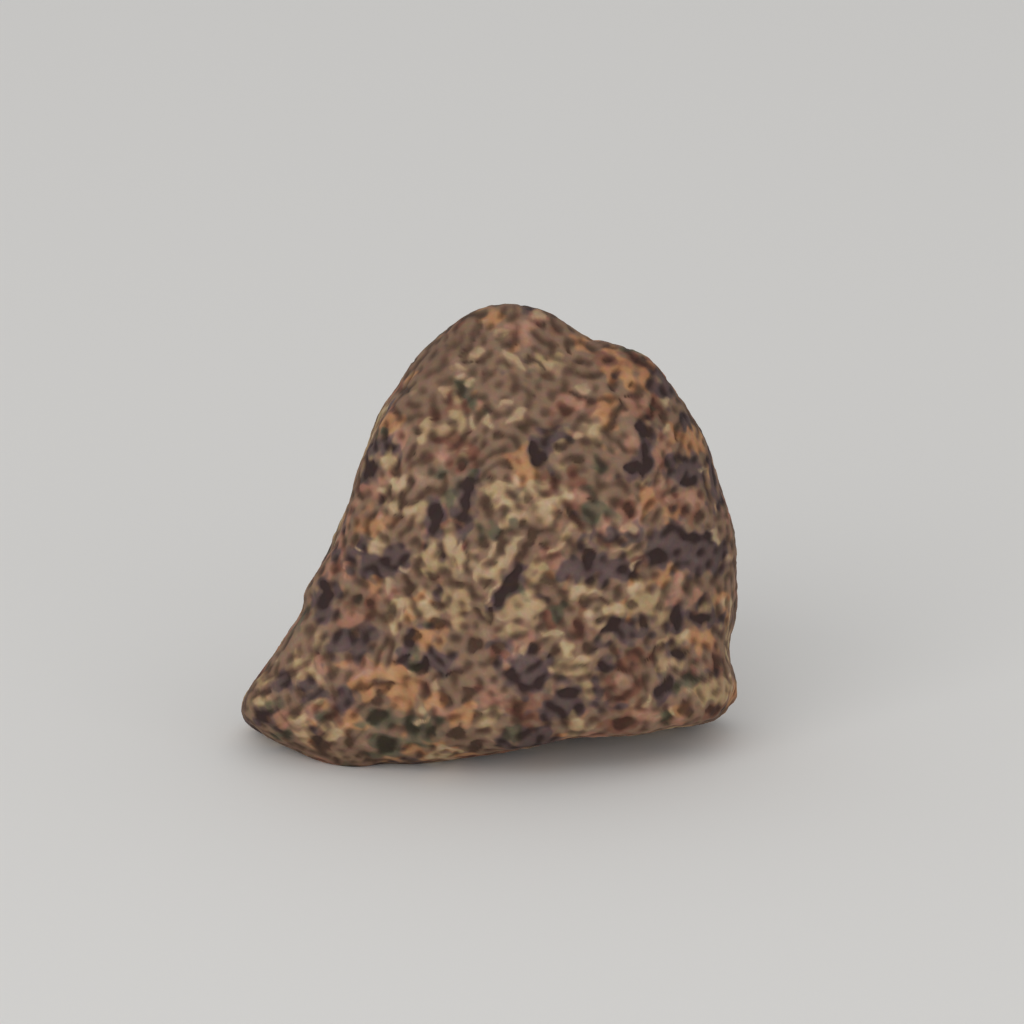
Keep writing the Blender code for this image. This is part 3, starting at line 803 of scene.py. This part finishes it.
def linear(colour: tuple[int, int, int]) -> tuple[float, float, float, float]:
    """The linear form of an sRGB colour: ((c + 0.055) / 1.055)^2.4 for each part c from 0 to 1."""
    red, green, blue = (((part / 255 + 0.055) / 1.055) ** 2.4 for part in colour)
    return red, green, blue, 1.0


@dataclass(frozen=True)
class NodeSheet:
    """A material's node tree, to which nodes are added with their links in one call."""

    tree: bpy.types.NodeTree
    noise_roughness: float = 0.6

    def add(self, kind: str, inputs: dict | None = None, **settings: str) -> bpy.types.Node:
        """Adds one node.

        Args:
            kind: The node's type name.
            inputs: What each input takes, a value or another node's output, by the input's name or number.
            settings: The node's own settings.

        Returns:
            The new node.
        """
        node = self.tree.nodes.new(kind)
        for name, value in settings.items():
            setattr(node, name, value)
        for name, value in (inputs or {}).items():
            if isinstance(value, Output):
                self.tree.links.new(value, node.inputs[name])
            else:
                node.inputs[name].default_value = value
        return node

    def multiply_add(self, value: Input, factor: Input, extra: Input) -> Output:
        """The output of value times factor plus extra."""
        inputs = {0: value, 1: factor, 2: extra}
        return self.add("ShaderNodeMath", inputs, operation="MULTIPLY_ADD").outputs[0]

    def rise(
        self,
        value: Input,
        low: float,
        high: float,
        ends: tuple[float, float] = (0.0, 1.0),
        kind: str = "SMOOTHSTEP",
    ) -> Output:
        """The output that goes from one end to the other as value goes from low to high, along that kind."""
        inputs = {"Value": value, "From Min": low, "From Max": high, "To Min": ends[0], "To Max": ends[1]}
        return self.add("ShaderNodeMapRange", inputs, interpolation_type=kind).outputs[0]

    def blend(self, share: Input, under: Input, over: Input) -> Output:
        """The number that is over in that share, and under elsewhere."""
        return self.add("ShaderNodeMix", {0: share, 2: under, 3: over}, data_type="FLOAT").outputs[0]

    def mix(self, share: Input, under: Output, over: Output, blend: str = "MIX") -> Output:
        """The colour that is over in that share, and under elsewhere."""
        inputs = {0: share, 6: under, 7: over}
        return self.add("ShaderNodeMix", inputs, data_type="RGBA", blend_type=blend).outputs[2]

    def field(self, name: str) -> Output:
        """The mesh attribute of that name, as a number."""
        return self.add("ShaderNodeAttribute", attribute_name=name).outputs["Fac"]

    def noise(self, size: float, detail: float = 2.0) -> Output:
        """Noise about zero, within about a half. Its features are that size in metres."""
        return self.multiply_add(self.hues(size, detail, "Fac"), 1.0, -0.5)

    def hues(self, size: float, detail: float = 1.0, output: str = "Color") -> Output:
        """Coloured noise about grey, on Object coordinates. Its features are that size in metres."""
        place = self.add("ShaderNodeTexCoord").outputs["Object"]
        inputs = {"Vector": place, "Scale": 1 / size, "Detail": detail, "Roughness": self.noise_roughness}
        return self.add("ShaderNodeTexNoise", inputs).outputs[output]

    def ramp(self, value: Output, colours: list[tuple[float, ...]]) -> Output:
        """A ramp of colours that are spaced evenly.

        Args:
            value: Where on the ramp to look, from 0 to 1.
            colours: The colours from 0 to 1, linear, with their alpha.

        Returns:
            The colour at the value, blended between the two nearest.
        """
        node = self.add("ShaderNodeValToRGB", {"Fac": value})
        stops = node.color_ramp.elements
        last = len(colours) - 1
        for n, colour in enumerate(colours):
            stop = stops[0] if n == 0 else stops[-1] if n == last else stops.new(n / last)
            stop.color = colour
        return node.outputs["Color"]


@dataclass(frozen=True)
class StoneFinish:
    """Matt weathered stone: dark spots in a pale web, with slivers and stains, from the mesh's attributes."""

    name: str = "weathered stone"
    # The tone from the pale web to a spot's dark middle, in even steps of the pattern.
    web_to_spot: tuple[float, ...] = (0.68, 0.66, 0.62, 0.55, 0.46, 0.36, 0.26, 0.18, 0.12)
    # How much the shade and two noises vary the tone, and how far a third shifts the edges, in mm.
    shade_contrast: float = 0.10
    mid_size: float = 0.8 * MM
    mid_detail: float = 3.0
    mid_contrast: float = 0.11
    grit_size: float = 0.30 * MM
    grit_contrast: float = 0.06
    wobble_size: float = 0.55 * MM
    wobble: float = 0.18
    # The depths in mm outside and inside between which a stain and a sliver set in.
    stain_edge: float = 0.65
    sliver_edge: float = 0.32
    ground_tone: float = 0.50
    sliver_tone: float = 0.84
    sliver_cream: float = 0.7
    # Its roughness in the darkest and in the palest tone.
    roughness: tuple[float, float] = (0.66, 0.88)
    specular: float = 0.12
    grit_bump: float = 0.4
    bump_height: float = 0.06 * MM
    hue_size: float = 0.9 * MM
    hue_contrast: float = 0.17
    # The tone of each mineral's field, and the share of the groundmass's own contrast that it keeps.
    fields: tuple[tuple[Mineral, float, float], ...] = (
        (Mineral.TAN, 0.53, 0.75), (Mineral.PLUM, 0.27, 1.05), (Mineral.MOSS, 0.38, 0.9),
        (Mineral.RUST, 0.43, 0.95), (Mineral.OCHRE, 0.60, 1.15), (Mineral.SALMON, 0.56, 1.1),
        (Mineral.CREAM, 0.66, 1.15),
    )

    def toned(self, sheet: NodeSheet, tone: Output, mineral: Mineral) -> Output:
        """The mineral's colour at each tone."""
        return sheet.ramp(tone, [linear(colour) for colour in mineral.value])

    def build(self) -> bpy.types.Material:
        """Builds the material from nodes.

        The groundmass's tone follows the pattern of spots, and the shade and fine noise vary it. Each stained
        field moves it to its own tone, and the slivers come last. Each mineral's colour follows that tone.

        Returns:
            The finished material, which reads Object coordinates and the mesh's attributes.
        """
        material = bpy.data.materials.new(self.name)
        material.use_nodes = True
        sheet = NodeSheet(material.node_tree)
        wobble = sheet.noise(self.wobble_size)
        middling = sheet.noise(self.mid_size, self.mid_detail)
        grit = sheet.noise(self.grit_size)
        dark = sheet.multiply_add(wobble, self.wobble, sheet.field("dark"))
        pale = sheet.multiply_add(wobble, self.wobble, sheet.field("pale"))

        place = sheet.rise(dark, -1.0, 1.0, kind="LINEAR")
        tone = sheet.ramp(place, [(tone, tone, tone, 1.0) for tone in self.web_to_spot])
        tone = sheet.multiply_add(sheet.field("shade"), self.shade_contrast, tone)
        tone = sheet.multiply_add(middling, self.mid_contrast, tone)
        shares = {}
        for mineral, level, kept in self.fields:
            depth = sheet.multiply_add(wobble, self.wobble, sheet.field(mineral.attribute))
            shares[mineral] = sheet.rise(depth, -self.stain_edge, self.stain_edge)
            moved = sheet.multiply_add(tone, kept, level - kept * self.ground_tone)
            tone = sheet.blend(shares[mineral], tone, moved)
        sliver = sheet.rise(pale, -self.sliver_edge, self.sliver_edge)
        tone = sheet.blend(sliver, tone, sheet.multiply_add(middling, self.mid_contrast, self.sliver_tone))
        tone = sheet.multiply_add(grit, self.grit_contrast, tone)

        colour = self.toned(sheet, tone, Mineral.TAN)
        for mineral in list(Mineral)[1:]:
            colour = sheet.mix(shares[mineral], colour, self.toned(sheet, tone, mineral))
        cream = sheet.multiply_add(sliver, self.sliver_cream, 0.0)
        colour = sheet.mix(cream, colour, self.toned(sheet, tone, Mineral.CREAM))
        colour = sheet.mix(self.hue_contrast, colour, sheet.hues(self.hue_size), "OVERLAY")

        roughness = sheet.rise(tone, 0.0, 1.0, self.roughness)
        height = sheet.multiply_add(grit, self.grit_bump, middling)
        bump = sheet.add("ShaderNodeBump", {"Height": height, "Distance": self.bump_height}).outputs[0]
        surface = sheet.tree.nodes["Principled BSDF"]
        surface.inputs["Specular IOR Level"].default_value = self.specular
        for name, value in {"Base Color": colour, "Roughness": roughness, "Normal": bump}.items():
            sheet.tree.links.new(value, surface.inputs[name])
        return material


@dataclass(frozen=True)
class Stone:
    """The stone's fine skin, which stands for its solid."""

    form: StoneForm
    mottle: Mottle
    finish: StoneFinish
    name: str = "stone_skin"
    cells: int = 128
    # How far the net's directions are stretched to the right, upward and towards the viewer.
    stretch: tuple[float, float, float] = (1.25, 1.2, 1.0)
    crease: float = math.radians(50)

    def net(self) -> tuple[np.ndarray, np.ndarray]:
        """A cube's six square grids, blown up evenly over all directions.

        On each side of the cube the two parameters run in even steps of angle from -45 to 45 degrees, and a
        point of the grid is the tangent of both. Points that two sides share are merged. The directions are
        then stretched along the drawing's axes, which evens out the cells on a stone wider than deep.

        Returns:
            The unit direction of each point, and the four points of each face, anticlockwise from outside.
        """
        step = np.arange(self.cells + 1)
        u, v = (grid.ravel() for grid in np.meshgrid(step, step, indexing="ij"))
        corner = np.arange(len(u)).reshape(len(step), len(step))
        quads = np.stack([corner[:-1, :-1], corner[1:, :-1], corner[1:, 1:], corner[:-1, 1:]], axis=-1)
        quads = quads.reshape(-1, 4)
        sides, faces = [], []
        for axis in range(3):
            for end in (0, self.cells):
                side = np.full((len(u), 3), end)
                side[:, (axis + 1) % 3] = u
                side[:, (axis + 2) % 3] = v
                faces.append((quads if end else quads[:, ::-1]) + len(sides) * len(u))
                sides.append(side)
        lattice, merged = np.unique(np.concatenate(sides), axis=0, return_inverse=True)
        corners = unit(np.tan((2 * lattice / self.cells - 1) * math.pi / 4)) * self.stretch
        return unit(corners @ np.stack([RIGHT, UPWARD, -AWAY])), merged.ravel()[np.concatenate(faces)]

    def normals(self, points: np.ndarray, faces: np.ndarray) -> np.ndarray:
        """Unit vectors out of the skin: the cross products of its faces' diagonals, summed at each point.

        Args:
            points: Places of the skin's points.
            faces: The four points of each face.

        Returns:
            One unit vector for each point.
        """
        a, b, c, d = (points[faces[:, n]] for n in range(4))
        out = np.cross(c - a, d - b)
        corners = faces.ravel()
        total = [np.bincount(corners, np.repeat(out[:, n], 4), len(points)) for n in range(3)]
        return unit(np.stack(total, axis=1))

    def grounded(self, points: np.ndarray) -> np.ndarray:
        """The points, with those below the ground moved onto it along their ray from the middle."""
        ground = self.form.middle_height
        return points * (ground / np.maximum(-points[:, 2], ground))[:, None]

    def build(self) -> tuple[bpy.types.Object, Vector]:
        """Builds the fine skin and dresses it.

        Returns:
            The stone's object, and the place of the drawing's middle in metres.
        """
        directions, faces = self.net()
        rough = self.form.on_skin(directions)
        points = self.grounded(rough + directions * self.form.relief(rough)[:, None])
        skin = Skin(points, self.normals(points, faces), faces)
        fields, height = self.mottle.at(skin)
        fine = self.grounded(points + skin.normals * (height * self.form.unworn(points))[:, None]) * MM

        low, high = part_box(NODE)
        middle = (low + high) / 2 - Vector((fine.min(0) + fine.max(0)) / 2)
        middle.z = self.form.middle_height * MM
        mesh = bpy.data.meshes.new(self.name)
        mesh.from_pydata(fine + np.array(middle), [], faces.tolist())
        for name, values in fields.items():
            attribute = mesh.attributes.new(name, "FLOAT", "POINT")
            attribute.data.foreach_set("value", values.astype(np.float32))
        mesh.shade_smooth()
        mesh.set_sharp_from_angle(angle=self.crease)
        mesh.materials.append(self.finish.build())
        stone = bpy.data.objects.new(self.name, mesh)
        bpy.context.scene.collection.objects.link(stone)
        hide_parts(NODE)
        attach(stone, BODY)
        log.info("%s: %d points, %d faces", stone.name, len(fine), len(faces))
        return stone, middle


@dataclass(frozen=True)
class Softbox:
    """A large square light that looks at the stone. Its place is in degrees round and up, and metres away."""

    name: str
    round_degrees: float
    up_degrees: float
    distance: float
    size: float
    power: float

    def build(self, target: Vector) -> bpy.types.Object:
        """Builds the light.

        Args:
            target: The place that it looks at.

        Returns:
            The light's object.
        """
        light = bpy.data.lights.new(self.name, "AREA")
        light.size = self.size
        light.energy = self.power
        box = bpy.data.objects.new(self.name, light)
        out = Vector(facing(self.round_degrees, self.up_degrees))
        box.location = target + out * self.distance
        box.rotation_euler = out.to_track_quat("Z", "Y").to_euler()
        bpy.context.scene.collection.objects.link(box)
        return box


@dataclass(frozen=True)
class Studio:
    """A pale floor, soft light from all round with two softboxes, and the camera in front."""

    floor_half: float = 6.0
    floor_colour: tuple[float, float, float, float] = (0.80, 0.79, 0.77, 1.0)
    floor_roughness: float = 0.9
    sky_colour: tuple[float, float, float, float] = (1.0, 1.0, 1.0, 1.0)
    sky_strength: float = 0.585
    softboxes: tuple[Softbox, ...] = (
        Softbox("key_softbox", -26, 28, 1.5, 1.2, 8.5),
        Softbox("fill_softbox", 30, 3, 1.6, 1.4, 6.5),
    )
    # In the photo the stone is 498 pixels wide, and the drawing's middle is that many right and down.
    mm_per_pixel: float = 60.0 / 498.0
    image_pixels: float = 1024.0
    middle_pixel: tuple[float, float] = (505.0, 560.0)
    sensor: float = 36.0

    def floor(self) -> bpy.types.Object:
        """A square floor at height zero: corners at plus and minus its half size along X and Y."""
        x, y = (grid.ravel() for grid in np.meshgrid([-1, 1], [-1, 1]))
        corners = self.floor_half * np.stack([x, y, np.zeros(4)], axis=1)
        mesh = bpy.data.meshes.new("floor")
        mesh.from_pydata(corners, [], [(0, 1, 3, 2)])
        material = bpy.data.materials.new("pale floor")
        material.use_nodes = True
        surface = material.node_tree.nodes["Principled BSDF"]
        surface.inputs["Base Color"].default_value = self.floor_colour
        surface.inputs["Roughness"].default_value = self.floor_roughness
        mesh.materials.append(material)
        floor = bpy.data.objects.new("floor", mesh)
        bpy.context.scene.collection.objects.link(floor)
        return floor

    def sky(self) -> bpy.types.World:
        """Even white light from every side."""
        world = bpy.data.worlds.new("soft light")
        world.use_nodes = True
        background = world.node_tree.nodes["Background"]
        background.inputs["Color"].default_value = self.sky_colour
        background.inputs["Strength"].default_value = self.sky_strength
        bpy.context.scene.world = world
        return world

    def camera(self, middle: Vector) -> bpy.types.Object:
        """The camera in front of the stone and above it, square to the drawing's plane.

        Args:
            middle: The place of the drawing's middle.

        Returns:
            The camera's object.
        """
        scale = self.mm_per_pixel * MM
        right = (self.image_pixels / 2 - self.middle_pixel[0]) * scale
        upward = (self.middle_pixel[1] - self.image_pixels / 2) * scale
        data = bpy.data.cameras.new("camera")
        data.sensor_width = self.sensor
        data.lens = self.sensor * VIEW_DISTANCE * MM / (self.image_pixels * scale)
        camera = bpy.data.objects.new("camera", data)
        place = np.array(middle) + right * RIGHT + upward * UPWARD - VIEW_DISTANCE * MM * AWAY
        turned = np.eye(4)
        turned[:3] = np.stack([RIGHT, UPWARD, -AWAY, place], axis=1)
        camera.matrix_world = Matrix(turned.tolist())
        bpy.context.scene.collection.objects.link(camera)
        bpy.context.scene.camera = camera
        return camera

    def build(self, middle: Vector) -> None:
        """Builds the studio round the stone, with its colours shown as they are.

        Args:
            middle: The place of the drawing's middle.
        """
        pieces = [self.floor(), self.sky()]
        pieces += [softbox.build(middle) for softbox in self.softboxes]
        pieces.append(self.camera(middle))
        bpy.context.scene.view_settings.view_transform = "Standard"
        for piece in pieces:
            log.info("%s: in place", piece.name)


def main() -> None:
    """Builds the stone and the studio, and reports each."""
    logging.basicConfig(level=logging.INFO, format="%(name)s: %(message)s")
    log.info("nodes in the frame: %s", ", ".join(frame["nodes"]))
    form = StoneForm()
    stone, middle = Stone(form, Mottle(form), StoneFinish()).build()
    log.info("%s stands for %s", stone.name, NODE)
    Studio().build(middle)


if __name__ == "__main__":
    main()
